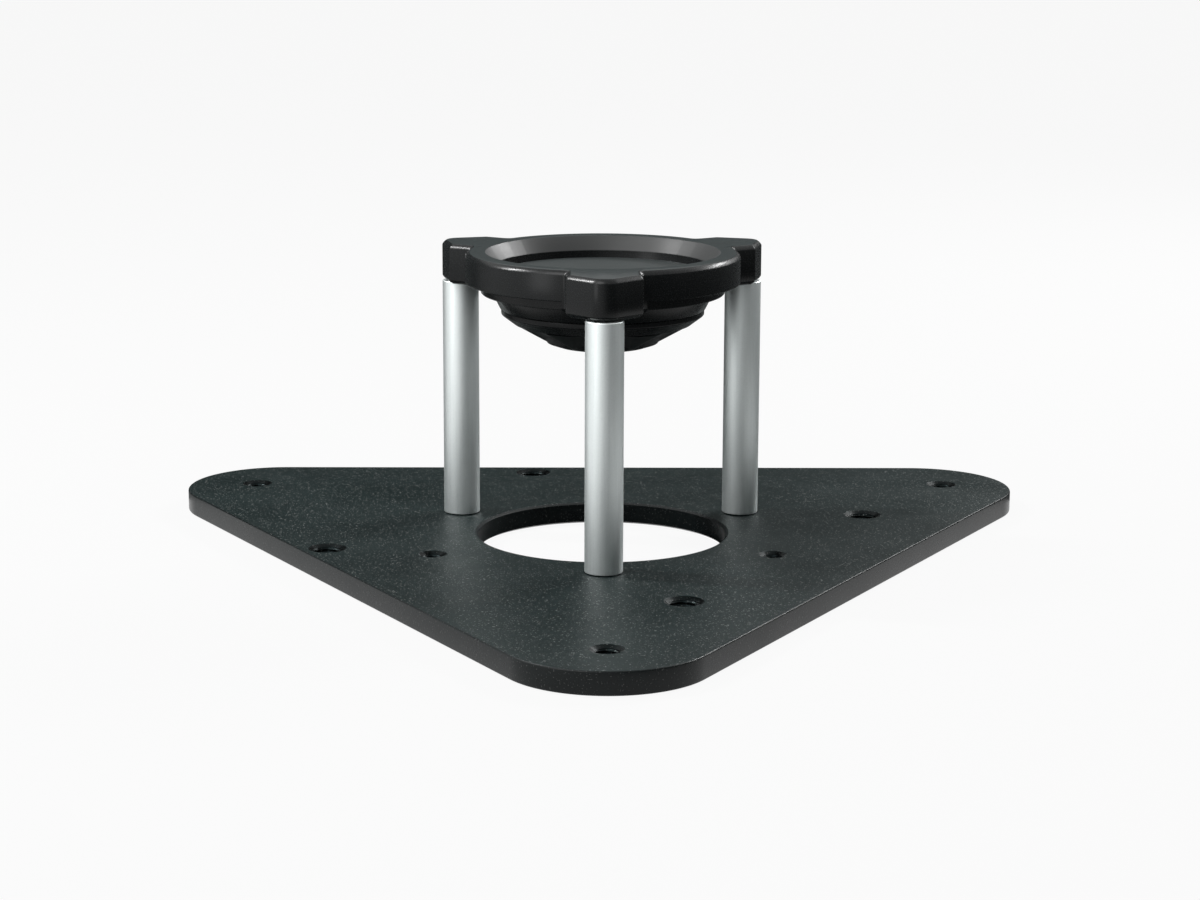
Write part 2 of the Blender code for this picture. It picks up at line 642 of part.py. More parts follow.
def make_clamp_rod():
    """The rod in tension: a round head, a shank with two flats and a groove for its retainer."""
    shank = CLAMP_ROD_RADIUS
    groove = shank - RETAINER_GROOVE
    head_top = CLAMP_HEAD_UNDERSIDE + CLAMP_HEAD_HEIGHT
    chamfer = DECK_EDGE_CHAMFER
    profile = [(0.0, head_top), (0.0, CLAMP_ROD_END), (shank, CLAMP_ROD_END)]
    profile += [(shank, RETAINER_UNDERSIDE - GAP / 2), (groove, RETAINER_UNDERSIDE - GAP / 2)]
    profile += [(groove, RETAINER_TOP + GAP / 2), (shank, RETAINER_TOP + GAP / 2)]
    profile += [(shank, CLAMP_HEAD_UNDERSIDE), (CLAMP_HEAD_RADIUS, CLAMP_HEAD_UNDERSIDE)]
    profile += [(CLAMP_HEAD_RADIUS, head_top - chamfer), (CLAMP_HEAD_RADIUS - chamfer, head_top)]
    rod = place("clamp_rod", *turned(profile, ROD_SIDES), screw_steel(), HEAD)
    shapes = []
    for side in (-1.0, 1.0):
        near = side * CLAMP_ROD_FLAT
        wide = shank + OVERCUT
        far = side * wide
        outline = [(near, -wide), (far, -wide), (far, wide), (near, wide)]
        shapes.append(lofted([outline, outline], [CLAMP_ROD_END - OVERCUT, CUP_TOP]))
    combine(rod, cutter("clamp_rod_flats", *together(shapes), HEAD))


def flatted_outline(radius, flat):
    """A circle with two flats square to X."""
    angle = math.degrees(math.acos(flat / radius))
    right = arc((0.0, 0.0), radius, -angle, -180.0 + angle, 10)
    left = arc((0.0, 0.0), radius, 180.0 - angle, angle, 10)
    return left[::-1] + right[::-1]


def make_clamp_cup():
    """The cup that bears on the bowl's underside, with a flatted hole that keys it to the rod."""
    floor = CUP_FLOOR_TOP
    profile = [(0.0, CUP_UNDERSIDE), (CUP_FOOT_RADIUS, CUP_UNDERSIDE)]
    profile += [(CUP_RADIUS, CUP_TOP - CUP_WALL_HEIGHT), (CUP_RADIUS, CUP_TOP)]
    profile += [(CUP_CAVITY_RADIUS, CUP_TOP), (CUP_CAVITY_RADIUS, floor), (0.0, floor)]
    cup = place("clamp_cup", *turned(profile, WIDE_SIDES), black_anodised(), HEAD)
    outline = flatted_outline(CLAMP_ROD_RADIUS + GAP, CLAMP_ROD_FLAT + GAP)
    hole = lofted([outline, outline], [CUP_UNDERSIDE - OVERCUT, floor + OVERCUT])
    combine(cup, cutter("clamp_cup_hole", *hole, HEAD))


def make_friction_washer():
    profile = [(WASHER_INNER_RADIUS, WASHER_UNDERSIDE), (WASHER_OUTER_RADIUS, WASHER_UNDERSIDE)]
    profile += [(WASHER_OUTER_RADIUS, WASHER_TOP), (WASHER_INNER_RADIUS, WASHER_TOP)]
    place("friction_washer", *turned(profile, BALL_SIDES), washer_plastic(), HEAD)


def scallop_cutters():
    """Long cylinders laid along the knob's cone, each cutting one shallow finger scallop."""
    slope = math.atan2(KNOB_CONE_HEIGHT, KNOB_CONE_WIDTH)
    middle = Vector(((KNOB_RIM_RADIUS + KNOB_CONE_RADIUS) / 2, 0.0, KNOB_TOP - KNOB_CONE_HEIGHT / 2))
    outward = Vector((math.sin(slope), 0.0, -math.cos(slope)))
    axis = Vector((math.cos(slope), 0.0, math.sin(slope)))
    centre = middle + outward * (SCALLOP_RADIUS - SCALLOP_DEPTH)
    half_length = 2.0 * math.hypot(KNOB_CONE_WIDTH, KNOB_CONE_HEIGHT)
    shapes = []
    for azimuth in azimuths(SCALLOP_AZIMUTH, SCALLOP_COUNT):
        low = []
        for x, y in arc((0.0, 0.0), SCALLOP_RADIUS, -SCALLOP_HALF_ARC, SCALLOP_HALF_ARC, 12):
            low.append(centre - outward * x + Vector((0.0, y, 0.0)))
        points = [tuple(point - axis * half_length) for point in low]
        points += [tuple(point + axis * half_length) for point in low]
        count = len(low)
        faces = [tuple(range(count)), tuple(range(2 * count - 1, count - 1, -1))]
        for index in range(count):
            after = (index + 1) % count
            faces.append((index, after, count + after, count + index))
        shapes.append(moved((points, faces), azimuth=azimuth))
    return together(shapes)


def make_hand_knob():
    """The knob carries the cup's cone on down to a flat foot, with six finger scallops."""
    recess = WASHER_OUTER_RADIUS + GAP
    bore = BUSH_RADIUS + GAP
    pocket = BUSH_FLANGE_RADIUS + GAP
    profile = [(recess, KNOB_TOP), (recess, KNOB_RECESS_FLOOR), (bore, KNOB_RECESS_FLOOR)]
    profile += [(bore, KNOB_WEB_UNDERSIDE), (pocket, KNOB_WEB_UNDERSIDE), (pocket, KNOB_UNDERSIDE)]
    profile += [(KNOB_FOOT_RADIUS, KNOB_UNDERSIDE), (KNOB_CONE_RADIUS, KNOB_TOP - KNOB_CONE_HEIGHT)]
    profile += [(KNOB_RIM_RADIUS, KNOB_TOP)]
    knob = place("hand_knob", *turned(profile, WIDE_SIDES), black_knob(), HEAD)
    combine(knob, cutter("scallops", *scallop_cutters(), HEAD))


def make_knob_bush():
    bore = CLAMP_ROD_RADIUS + GAP
    profile = [(bore, BUSH_UNDERSIDE), (BUSH_FLANGE_RADIUS, BUSH_UNDERSIDE)]
    profile += [(BUSH_FLANGE_RADIUS, BUSH_FLANGE_TOP), (BUSH_RADIUS, BUSH_FLANGE_TOP)]
    profile += [(BUSH_RADIUS, KNOB_RECESS_FLOOR), (bore, KNOB_RECESS_FLOOR)]
    place("knob_bush", *turned(profile, ROD_SIDES), bush_brass(), HEAD)


def make_retaining_ring():
    """An open ring snapped into the rod's groove, which keeps the knob from coming off."""
    inner = CLAMP_ROD_RADIUS - RETAINER_GROOVE + GAP
    first = RETAINER_HALF_OPENING
    last = FULL_TURN - first
    outline = arc((0.0, 0.0), RETAINER_RADIUS, first, last, 24)
    outline += arc((0.0, 0.0), inner, last, first, 24)
    shape = lofted([outline, outline], [RETAINER_UNDERSIDE, RETAINER_TOP])
    place("retaining_ring", *shape, screw_steel(), HEAD)


def main():
    clear_scene()
    make_base_plate()
    make_rods()
    make_base_screws()
    make_ear_studs()
    make_bowl_ring()
    make_half_ball()
    make_deck_plate()
    make_deck_screws()
    make_clamp_dome()
    make_clamp_rod()
    make_clamp_cup()
    make_friction_washer()
    make_hand_knob()
    make_knob_bush()
    make_retaining_ring()


main()
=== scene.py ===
import math

import bmesh
import bpy
import numpy as np
from mathutils import Matrix, Vector
from mathutils.geometry import tessellate_polygon


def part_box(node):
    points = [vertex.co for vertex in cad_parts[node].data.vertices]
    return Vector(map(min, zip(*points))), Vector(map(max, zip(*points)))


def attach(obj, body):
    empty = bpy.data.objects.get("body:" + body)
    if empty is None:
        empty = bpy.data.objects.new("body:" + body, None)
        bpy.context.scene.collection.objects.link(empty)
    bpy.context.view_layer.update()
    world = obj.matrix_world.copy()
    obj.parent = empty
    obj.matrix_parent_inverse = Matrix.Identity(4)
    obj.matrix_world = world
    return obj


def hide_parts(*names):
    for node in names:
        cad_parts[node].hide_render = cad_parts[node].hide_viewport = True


# The low bowl camera mount's looks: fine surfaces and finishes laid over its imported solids.
# Shapes are in millimetres about the bowl's axis; MM turns them into metres as the mesh is made.
# Finishes, camera, lamps and stage are in metres, and angles are in degrees unless a line says otherwise.
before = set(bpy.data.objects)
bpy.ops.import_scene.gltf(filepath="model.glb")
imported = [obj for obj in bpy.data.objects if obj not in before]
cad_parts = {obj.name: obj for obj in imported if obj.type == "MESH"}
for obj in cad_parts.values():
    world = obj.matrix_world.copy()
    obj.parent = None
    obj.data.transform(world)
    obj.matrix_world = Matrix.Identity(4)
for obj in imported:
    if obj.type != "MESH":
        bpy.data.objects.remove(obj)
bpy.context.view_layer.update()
MM = 0.001

# The bowl's axis, from the middle of the base plate
AXIS = np.array((0.0, 42.8625, 0.0))

# Heights read from the solids
PLATE_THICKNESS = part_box("base_plate")[1].z / MM
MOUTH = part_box("bowl_ring")[1].z / MM
ROD_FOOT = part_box("rod_front")[0].z / MM
ROD_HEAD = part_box("rod_front")[1].z / MM

# Points closer than WELD become one and edges shorter than SLIVER go, both in metres
WELD = 2e-6
SLIVER = 1e-7

# Points in the arc of a rounded corner
ARC_POINTS = 5

# Base plate
CORNER_CIRCLE = 171.45
CORNER_RADIUS = 41.9
CORNER_COLUMNS = 49
PLATE_EDGE = 0.8
PLATE_BORE = 53.7
BORE_COLUMNS = 192

# Tapped holes: circle, radius, azimuth of the first and count
CORNER_HOLES = (184.15, 4.9, -90.0, 3)
LARGE_HOLES = (120.65, 6.2, -165.0, 4)
SMALL_HOLES = (82.55, 4.15, -150.0, 3)
HOLE_CHAMFER = 1.2
HOLE_COLUMNS = 40
THREAD_PITCH = 1.6
THREAD_DEPTH = 0.75
THREAD_FADE = 0.8
ROWS_PER_PITCH = 8

# A hole's mouth is this many chamfers wider than the hole on each side, with a small lip round it that
# drops by a share of its width; the mark on the holes reaches a margin past the mouth
MOUTH_SHARE = 1.5
MOUTH_LIP = 0.12
LIP_DROP = 0.4
MARK_MARGIN = 0.05

# Rods and the countersinks of their screws
ROD_CIRCLE = 71.6
ROD_RADIUS = 7.9375
ROD_AZIMUTHS = {"front": -90.0, "right": 30.0, "left": 150.0}
ROD_EDGE = 0.5
ROD_COLUMNS = 72
SCREW_HOLE = 8.3
SCREW_SHANK_HOLE = 4.3
SCREW_LAND = 0.3
SCREW_HOLE_DEPTH = 9.0
SCREW_COLUMNS = 48

# Bowl ring: radii, and depths below the bowl's mouth
BOWL_MOUTH = 50.0
BOWL_FOOT = 45.91
LEAD_IN = 6.0
SEAT = 46.3
BOWL_DEPTH = 24.0
RING = 58.7
RING_WALL = 12.8
RING_STEP = 52.1
RING_DEPTH = 17.4
SKIRT = 50.0
LAND_REACH = 3.0

# The ring's long edge: width, rows, and how far it is flattened towards a straight chamfer
RING_ROUND = 2.0
RING_EDGE_ROWS = 9
RING_EDGE_FLAT = 0.6

# Rows of the step between the ears, and the insets and depths of those down its wall
STEP_EASE = 0.3
STEP_FIRST = 1.5
STEP_LAST = 0.25
STEP_WALL_ROWS = ((0.05, RING_WALL + 0.2), (0.1, RING_DEPTH - STEP_EASE), (0.4, RING_DEPTH))

# Ears: half width, flank angle, small radii, depth of the row between top and foot, and half the width
# of the strip that an ear, its roots and a margin take up; columns are counted along the ring's edge
EAR_HALF = 15.7
EAR_FLANK = 46.0
EAR_CORNER = 1.0
EAR_FILLET = 1.5
EAR_WAIST = 11.0
EAR_MARGIN = 0.3
EAR_STRIP = EAR_HALF + EAR_FILLET + EAR_MARGIN
THIRD = 120.0
COLUMN_GAP = 0.01
LAND_COLUMNS = 41
TIP_COLUMNS = 25
CORNER_ARC_COLUMNS = 7
ROOT_COLUMNS = 9

# Ball and deck: radii, and heights from the bowl's mouth
BALL = 46.0
DECK_TOP = -9.0
DECK_FOOT = -15.5
DECK_EDGE = 0.5
DECK_HOLE = 4.6
DECK_POCKET = 18.3
DECK_POCKET_TOP = -12.5
TURNED_COLUMNS = 192

# Cup: radii, and heights from the bowl's mouth
CUP_TOP = -24.3
CUP_WALL_FOOT = -26.4
CUP_FOOT = -30.48
CUP_RADIUS = 43.4
CUP_FOOT_RADIUS = 38.0
CUP_INSIDE = 39.6
CUP_BORE = 5.3
CUP_FLOOR = 2.5

# Knob: its outside, then its washer recess, web and foot pocket, measured like the cup; KNOB_SLOPE is in
# radians
KNOB_TOP = -30.78
KNOB_RIM = 37.7
KNOB_EDGE = 0.25
KNOB_CONE_FOOT = -38.38
KNOB_CONE_RADIUS = 25.0
KNOB_FOOT = -40.28
KNOB_FOOT_RADIUS = 19.6
KNOB_FOOT_BEND = (23.8, -38.85)
KNOB_FOOT_INSET = 0.3
KNOB_RECESS = 20.3
KNOB_WEB_TOP = -32.3
KNOB_BORE = 8.3
KNOB_WEB_FOOT = -35.1
KNOB_POCKET = 11.3
KNOB_COLUMNS = 288
KNOB_ROWS = 40
KNOB_SLOPE = math.atan2(KNOB_TOP - KNOB_CONE_FOOT, KNOB_RIM - KNOB_CONE_RADIUS)

# Scallops round the knob: count, azimuth of the first, their cylinder's radius, depth and softness of the
# crease beside each; the rim is found in damped steps
SCALLOPS = 6
SCALLOP_FIRST = 30.0
SCALLOP_RADIUS = 60.0
SCALLOP_DEPTH = 2.6
SCALLOP_CREASE = 0.25
RIM_ROUNDS = 40
RIM_DAMPING = 0.8

# Most of one noise lies within NOISE_SPAN, and most of a weighted sum of noises within BLEND_SPAN
NOISE_SPAN = (0.3, 0.7)
BLEND_SPAN = (0.35, 0.65)

# Colours; a pair is a finish's darker and its brighter patches
PLATE_BLACK = ((0.002, 0.006, 0.0058), (0.0105, 0.0185, 0.0185))
PLATE_SPECK = (0.16, 0.17, 0.165)
# Painted shade: the darker colour of the plate's walls
PLATE_WALL_SHADE = (0.004, 0.005, 0.0055)
RING_BLACK = ((0.006, 0.007, 0.0072), (0.010, 0.0115, 0.012))
# Painted sheen on the ring's flat land, and a painted highlight on the bowl's lead-in
LAND_PAINTED_SHEEN = (0.029, 0.036, 0.0365)
SEAT_PAINTED_HIGHLIGHT = (0.065, 0.067, 0.067)
# The deck's own black, lifted to a grey that is partly painted sheen on its flat top
DECK_BLACK_AND_SHEEN = ((0.027, 0.033, 0.033), (0.036, 0.043, 0.043))
CUP_BLACK = ((0.007, 0.008, 0.0082), (0.011, 0.0125, 0.013))
KNOB_BLACK = ((0.008, 0.009, 0.009), (0.013, 0.0145, 0.015))
ROD_SILVER = ((0.77, 0.82, 0.815), (0.865, 0.915, 0.91))
SCREW_BLACK = ((0.05, 0.05, 0.052), (0.09, 0.09, 0.095))
CLAMP_STEEL = ((0.3, 0.3, 0.31), (0.42, 0.42, 0.43))
BALL_METAL = ((0.55, 0.56, 0.56), (0.66, 0.67, 0.67))
BUSH_BRASS = ((0.55, 0.4, 0.17), (0.72, 0.55, 0.26))
WASHER_PLASTIC = ((0.7, 0.69, 0.65), (0.78, 0.77, 0.73))

# Camera: place from the bowl's axis on the plate's top, turns in radians, lens and sensor in millimetres
CAMERA_PLACE = (-0.01406, -1.19585, 0.29329)
CAMERA_YAW = 0.011
CAMERA_PITCH = 0.212
CAMERA_ROLL = 0.004
CAMERA_LENS = 84.92
CAMERA_SENSOR = 36.0
CAMERA_REACH = 50.0

# World and floor
WHITE = (1.0, 1.0, 1.0)
SOFT_GREY = (0.8, 0.8, 0.8)
SOFT_STRENGTH = 0.15
FLOOR_HALF = 30.0
FLOOR_HEIGHT = -0.0004
FLOOR_PAINT = (0.4, 0.4, 0.4)
FLOOR_WHITE = 0.93

# Grey card: the azimuth that it is centred on, its radii about the bowl's axis and its heights; behind
# the object, past an azimuth whose sine is CARD_BEHIND, its near edge comes in by CARD_NEARER
CARD_MIDDLE = 35.0
CARD_POINTS = 40
CARD_DISC = (0.001, 0.054)
CARD_NEAR = 0.3
CARD_NEARER = 0.15
CARD_BEHIND = 0.3
CARD_FAR = 0.5
CARD_HEIGHT = -0.0002
CARD_TOP = 0.4
CARD_GREY = (0.09, 0.095, 0.095)

# The card's ring fades out between these cosines of the angle from its middle azimuth; the second pair,
# of radii, is where the solid disc gives way to the fading ring
CARD_FADE = (-0.88, -0.35)
CARD_DISC_FADE = (0.1, 0.2)

# Lamps: place, target, width and height in metres, and power in watts
LAMPS = {
    "front_left_top": ((-0.55, -0.56, 1.25), (0.0, 0.04, 0.12), (0.8, 0.8), 8.0),
    "right_back": ((0.9, 0.86, 0.76), (0.0, 0.04, 0.12), (0.6, 0.2), 16.0),
    "right": ((1.2, -0.2, 0.45), (0.0, 0.04, 0.08), (0.3, 0.5), 0.6),
    "left_top": ((-0.85, 0.2, 0.95), (0.0, 0.04, 0.12), (0.05, 0.25), 10.0),
    "left_front": ((-1.2, -0.9, 0.5), (0.0, 0.0, 0.08), (0.5, 0.8), 2.5),
}


def mesh_from(name, points, faces, paint, body, node, sharp=30.0):
    """Makes one welded piece from millimetre points, gives it its finish and body, and hides the CAD node
    it stands for.
    """
    mesh = bpy.data.meshes.new(name)
    mesh.from_pydata(((np.asarray(points, float) + AXIS) * MM).tolist(), [], faces)
    shape = bmesh.new()
    shape.from_mesh(mesh)
    bmesh.ops.remove_doubles(shape, verts=shape.verts, dist=WELD)
    bmesh.ops.dissolve_degenerate(shape, edges=shape.edges, dist=SLIVER)
    bmesh.ops.recalc_face_normals(shape, faces=shape.faces)
    shape.to_mesh(mesh)
    shape.free()
    mesh.shade_smooth()
    mesh.set_sharp_from_angle(angle=math.radians(sharp))
    mesh.materials.append(paint)
    piece = bpy.data.objects.new(name, mesh)
    bpy.context.scene.collection.objects.link(piece)
    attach(piece, body)
    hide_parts(node)
    return piece


def grid_faces(rows, columns, first=0, wrap_rows=False):
    """Quads of a grid of rows by columns whose columns close on themselves, as its rows may too."""
    row = np.arange(rows if wrap_rows else rows - 1)[:, None]
    column = np.arange(columns)[None, :]
    next_row = (row + 1) % rows
    next_column = (column + 1) % columns
    corners = (row * columns + column, row * columns + next_column,
               next_row * columns + next_column, next_row * columns + column)
    return (np.stack(np.broadcast_arrays(*corners), axis=-1).reshape(-1, 4) + first).tolist()


def fillet(corners):
    """A closed profile with each corner (r, z, radius) turned into an arc that touches both its sides.
    The arc's centre lies on the bisector, its radius over the sine of half the corner's angle away."""
    points = []
    count = len(corners)
    for index, (r, z, radius) in enumerate(corners):
        here = np.array((r, z), float)
        if radius <= 0.0:
            points.append(here)
            continue
        before = np.array(corners[index - 1][:2], float) - here
        after = np.array(corners[(index + 1) % count][:2], float) - here
        before /= np.linalg.norm(before)
        after /= np.linalg.norm(after)
        half = math.acos(max(-1.0, min(1.0, float(before @ after)))) / 2
        centre = here + (before + after) / np.linalg.norm(before + after) * radius / math.sin(half)
        start = here + before * radius / math.tan(half) - centre
        end = here + after * radius / math.tan(half) - centre
        first = math.atan2(start[1], start[0])
        sweep = (math.atan2(end[1], end[0]) - first + math.pi) % (2 * math.pi) - math.pi
        angles = first + sweep * np.linspace(0.0, 1.0, ARC_POINTS)
        points += list(centre + radius * np.stack((np.cos(angles), np.sin(angles)), axis=1))
    return np.array(points)


def reach_at(radius, offset):
    """How far a circle or sphere reaches at an offset from its middle: the root of the radius squared
    less the offset squared."""
    return math.sqrt(radius ** 2 - offset ** 2)


def sphere_profile(radius, first, last, steps):
    """(r, z, 0) corners on a sphere about the mouth's centre, in even angles from one height to another."""
    angles = np.linspace(math.asin(first / radius), math.asin(last / radius), steps)
    return [(radius * math.cos(angle), radius * math.sin(angle), 0.0) for angle in angles]


def full_circle(columns):
    """Even angles in radians round a circle, without the last, which is the first again."""
    return np.linspace(0.0, 2 * math.pi, columns, endpoint=False)


def spun(profile, columns, height, centre=(0.0, 0.0)):
    """Grid of points with the profile's points (r, z) as rows, r and z each a number or one per column:
    x and y are the centre plus r times the cosine and the sine of the column's angle."""
    angles = full_circle(columns)
    r, z = (np.stack([np.broadcast_to(point[axis], columns) for point in profile]) for axis in (0, 1))
    return np.stack((centre[0] + r * np.cos(angles), centre[1] + r * np.sin(angles), z + height), axis=-1)


def turned_piece(name, corners, paint, body, node, columns, height=MOUTH, centre=(0.0, 0.0)):
    """A piece whose closed, filleted profile is spun about an upright axis through a centre."""
    points = spun(fillet(corners), columns, height, centre)
    faces = grid_faces(len(points), columns, wrap_rows=True)
    mesh_from(name, points.reshape(-1, 3), faces, paint, body, node)


def polar(radius, azimuth):
    """The point (x, y) at a radius and an azimuth."""
    angle = math.radians(azimuth)
    return radius * math.cos(angle), radius * math.sin(angle)


def arc_points(centre, radius, first, last, count):
    """Points (x, y) on an arc: the centre plus the radius times the cosine and sine of even angles."""
    angles = np.radians(np.linspace(first, last, count))
    return np.stack((centre[0] + radius * np.cos(angles), centre[1] + radius * np.sin(angles)), axis=-1)


def turn_points(points, azimuth):
    """Points (x, y) turned about the axis: x cos - y sin and x sin + y cos."""
    cosine, sine = polar(1.0, azimuth)
    return np.stack((points[:, 0] * cosine - points[:, 1] * sine,
                     points[:, 0] * sine + points[:, 1] * cosine), axis=-1)


def at_height(loop, height):
    """A loop seen from above, lifted to one height or to one for each point."""
    return np.column_stack((loop, np.broadcast_to(height, len(loop))))


class Wire:
    """A socket that takes part in sums; each operation adds the Math node that does it."""

    def __init__(self, nodes, socket):
        self.nodes = nodes
        self.socket = socket

    def math(self, operation, *others):
        """The operation on this socket, which comes first, and the others."""
        values = dict(enumerate((self, *others)))
        return self.nodes.node("ShaderNodeMath", {"operation": operation}, values)

    def reflected(self, operation, other):
        """The operation with the other value first and this socket second."""
        return self.nodes.node("ShaderNodeMath", {"operation": operation}, {0: other, 1: self})

    def __add__(self, other):
        return self.math("ADD", other)

    __radd__ = __add__

    def __sub__(self, other):
        return self.math("SUBTRACT", other)

    def __rsub__(self, other):
        return self.reflected("SUBTRACT", other)

    def __mul__(self, other):
        return self.math("MULTIPLY", other)

    __rmul__ = __mul__

    def __truediv__(self, other):
        return self.math("DIVIDE", other)

    def __rtruediv__(self, other):
        return self.reflected("DIVIDE", other)


class Nodes:
    """A node tree under construction."""

    def __init__(self, tree):
        self.tree = tree

    def put(self, socket, value):
        """Links a wire to a socket, or sets the socket to a value."""
        if isinstance(value, Wire):
            self.tree.links.new(value.socket, socket)
        elif isinstance(value, tuple) and len(value) == 3 and socket.type == "RGBA":
            socket.default_value = (*value, 1.0)
        else:
            socket.default_value = value

    def node(self, kind, settings=None, values=None, output=0):
        """Adds a node, sets it first, then its sockets, and hands back one of its outputs."""
        made = self.tree.nodes.new(kind)
        for name, value in (settings or {}).items():
            setattr(made, name, value)
        for key, value in (values or {}).items():
            self.put(made.inputs[key], value)
        return Wire(self, made.outputs[output])

    def split(self, kind, names, values=None):
        """Adds a node and hands back several of its outputs."""
        made = self.node(kind, None, values).socket.node
        return [Wire(self, made.outputs[name]) for name in names]

    def seen(self):
        """1 on rays that come straight from the camera, a reflection or a clear surface, else 0."""
        names = ("Is Camera Ray", "Is Glossy Ray", "Is Transmission Ray")
        camera, glossy, clear = self.split("ShaderNodeLightPath", names)
        return camera.math("MAXIMUM", glossy).math("MAXIMUM", clear)


class Finish(Nodes):
    """A material under construction, with one Principled shader."""

    def __init__(self, name, values):
        self.material = bpy.data.materials.new(name)
        self.material.use_nodes = True
        super().__init__(self.material.node_tree)
        self.shader = self.tree.nodes["Principled BSDF"]
        for socket, value in values.items():
            self.set(socket, value)

    def set(self, socket, value):
        """Sets or links a socket of the shader."""
        self.put(self.shader.inputs[socket], value)

    def place(self):
        """Object coordinates in metres, counted from the centre of the bowl's mouth."""
        spot = self.node("ShaderNodeTexCoord", output="Object")
        centre = -MM * (AXIS + (0.0, 0.0, MOUTH))
        return self.node("ShaderNodeMapping", None, {"Vector": spot, "Location": tuple(centre)})

    def parts(self, spot):
        """X, Y and Z of a vector as three numbers."""
        return self.split("ShaderNodeSeparateXYZ", "XYZ", {"Vector": spot})

    def radius(self, spot):
        """Distance from the Z axis: the root of x squared plus y squared."""
        x, y, _ = self.parts(spot)
        return (x * x + y * y).math("SQRT")

    def noise(self, spot, scale, detail, roughness=0.5):
        """Soft noise from 0 to 1, with about so many patches to a metre."""
        values = {"Vector": spot, "Scale": scale, "Detail": detail, "Roughness": roughness}
        return self.node("ShaderNodeTexNoise", None, values)

    def ramp(self, value, low, high, first=0.0, last=1.0):
        """Value carried from low..high to first..last and held there beyond."""
        values = {"Value": value, "From Min": low, "From Max": high, "To Min": first, "To Max": last}
        return self.node("ShaderNodeMapRange", {"clamp": True}, values)

    def blend(self, factor, first, second):
        """The first colour at 0 and the second at 1; the Mix node's colours are its sockets 6 and 7."""
        values = {"Factor": factor, 6: first, 7: second}
        return self.node("ShaderNodeMix", {"data_type": "RGBA"}, values, output=2)

    def bump(self, height, distance, strength):
        """Tilts the surface by a height field whose full range is a distance in metres."""
        values = {"Height": height, "Distance": distance, "Strength": strength}
        self.set("Normal", self.node("ShaderNodeBump", None, values))


def plate_finish():
    """Black coat with a fine grain and bright specks; its edge is painted darker as painted shade and
    shines, and the tapped holes reflect little but their own dark colour."""
    finish = Finish("plate_black", {"IOR": 1.3})
    spot = finish.place()
    height = finish.parts(spot)[2] + MOUTH * MM
    face = PLATE_THICKNESS * MM
    wall = finish.ramp(height, 0.0, 0.0002) * finish.ramp(height, face - 0.0002, face - 0.00002, 1.0, 0.0)
    grain = finish.noise(spot, 1100.0, 2.0)
    fine = finish.noise(spot, 2400.0, 1.0)
    cloud = finish.noise(spot, 28.0, 4.0)
    speck = finish.ramp(finish.noise(spot, 1500.0, 0.0), 0.71, 0.78)
    shade = finish.ramp(grain * 0.5 + fine * 0.3 + cloud * 0.2, 0.38, 0.62)
    colour = finish.blend(speck, finish.blend(shade, *PLATE_BLACK), PLATE_SPECK)
    hole = finish.node("ShaderNodeAttribute", {"attribute_name": "hole"}, output=2)
    # Painted shade: the plate's walls are painted darker than its flat faces
    finish.set("Base Color", finish.blend(wall * 0.7, colour, PLATE_WALL_SHADE))
    finish.set("Metallic", hole * 0.9)
    finish.set("Roughness", finish.ramp(cloud, *NOISE_SPAN, 0.38, 0.46) - wall * 0.14)
    finish.bump(grain * 0.6 + fine * 0.4, 0.00008, 0.6)
    return finish.material


def anodised_coat(name, colours, roughness, ior):
    """Black anodised metal with faint turning rings and a fine grain: the finish under construction, the
    spot, the colour and the roughness."""
    finish = Finish(name, {"IOR": ior})
    spot = finish.place()
    along = {"X": finish.radius(spot), "Y": finish.parts(spot)[2]}
    rings = finish.noise(finish.node("ShaderNodeCombineXYZ", None, along), 2400.0, 2.0, 0.6)
    cloud = finish.noise(spot, 45.0, 3.0)
    grain = finish.noise(spot, 2200.0, 1.0)
    shade = finish.ramp(rings * 0.15 + cloud * 0.35 + grain * 0.5, *BLEND_SPAN)
    relief = rings * 0.3 + grain * 0.7
    finish.bump(relief, 0.00001, 0.5)
    smooth = finish.ramp(relief, *BLEND_SPAN, roughness - 0.03, roughness + 0.03)
    return finish, spot, finish.blend(shade, *colours), smooth


def anodised_finish(name, colours, roughness, ior):
    """The plain anodised coat."""
    finish, _, colour, smooth = anodised_coat(name, colours, roughness, ior)
    finish.set("Base Color", colour)
    finish.set("Roughness", smooth)
    return finish.material


def ring_finish():
    """The anodised coat, with painted sheen making the flat land greyer, and a painted highlight making the
    bowl's lead-in greyer still; the lead-in is rougher too.
    """
    finish, spot, colour, smooth = anodised_coat("ring_black", RING_BLACK, 0.26, 1.3)
    height = finish.parts(spot)[2]
    mouth = BOWL_MOUTH * MM
    foot = -LEAD_IN * MM
    inside = finish.ramp(finish.radius(spot), mouth + 0.0001, mouth + 0.0003, 1.0, 0.0)
    # Painted highlight: the bowl's lead-in is painted a lighter grey, and it is rougher
    highlight_lead_in = inside * finish.ramp(height, foot - 0.0003, foot + 0.0002)
    # Painted sheen: the flat land is painted greyer than the ring's walls
    land = finish.ramp(height, -0.00012, -0.00004)
    colour = finish.blend(land, colour, LAND_PAINTED_SHEEN)
    finish.set("Base Color", finish.blend(highlight_lead_in, colour, SEAT_PAINTED_HIGHLIGHT))
    finish.set("Roughness", smooth + (highlight_lead_in + land * 0.3) * 0.16)
    return finish.material


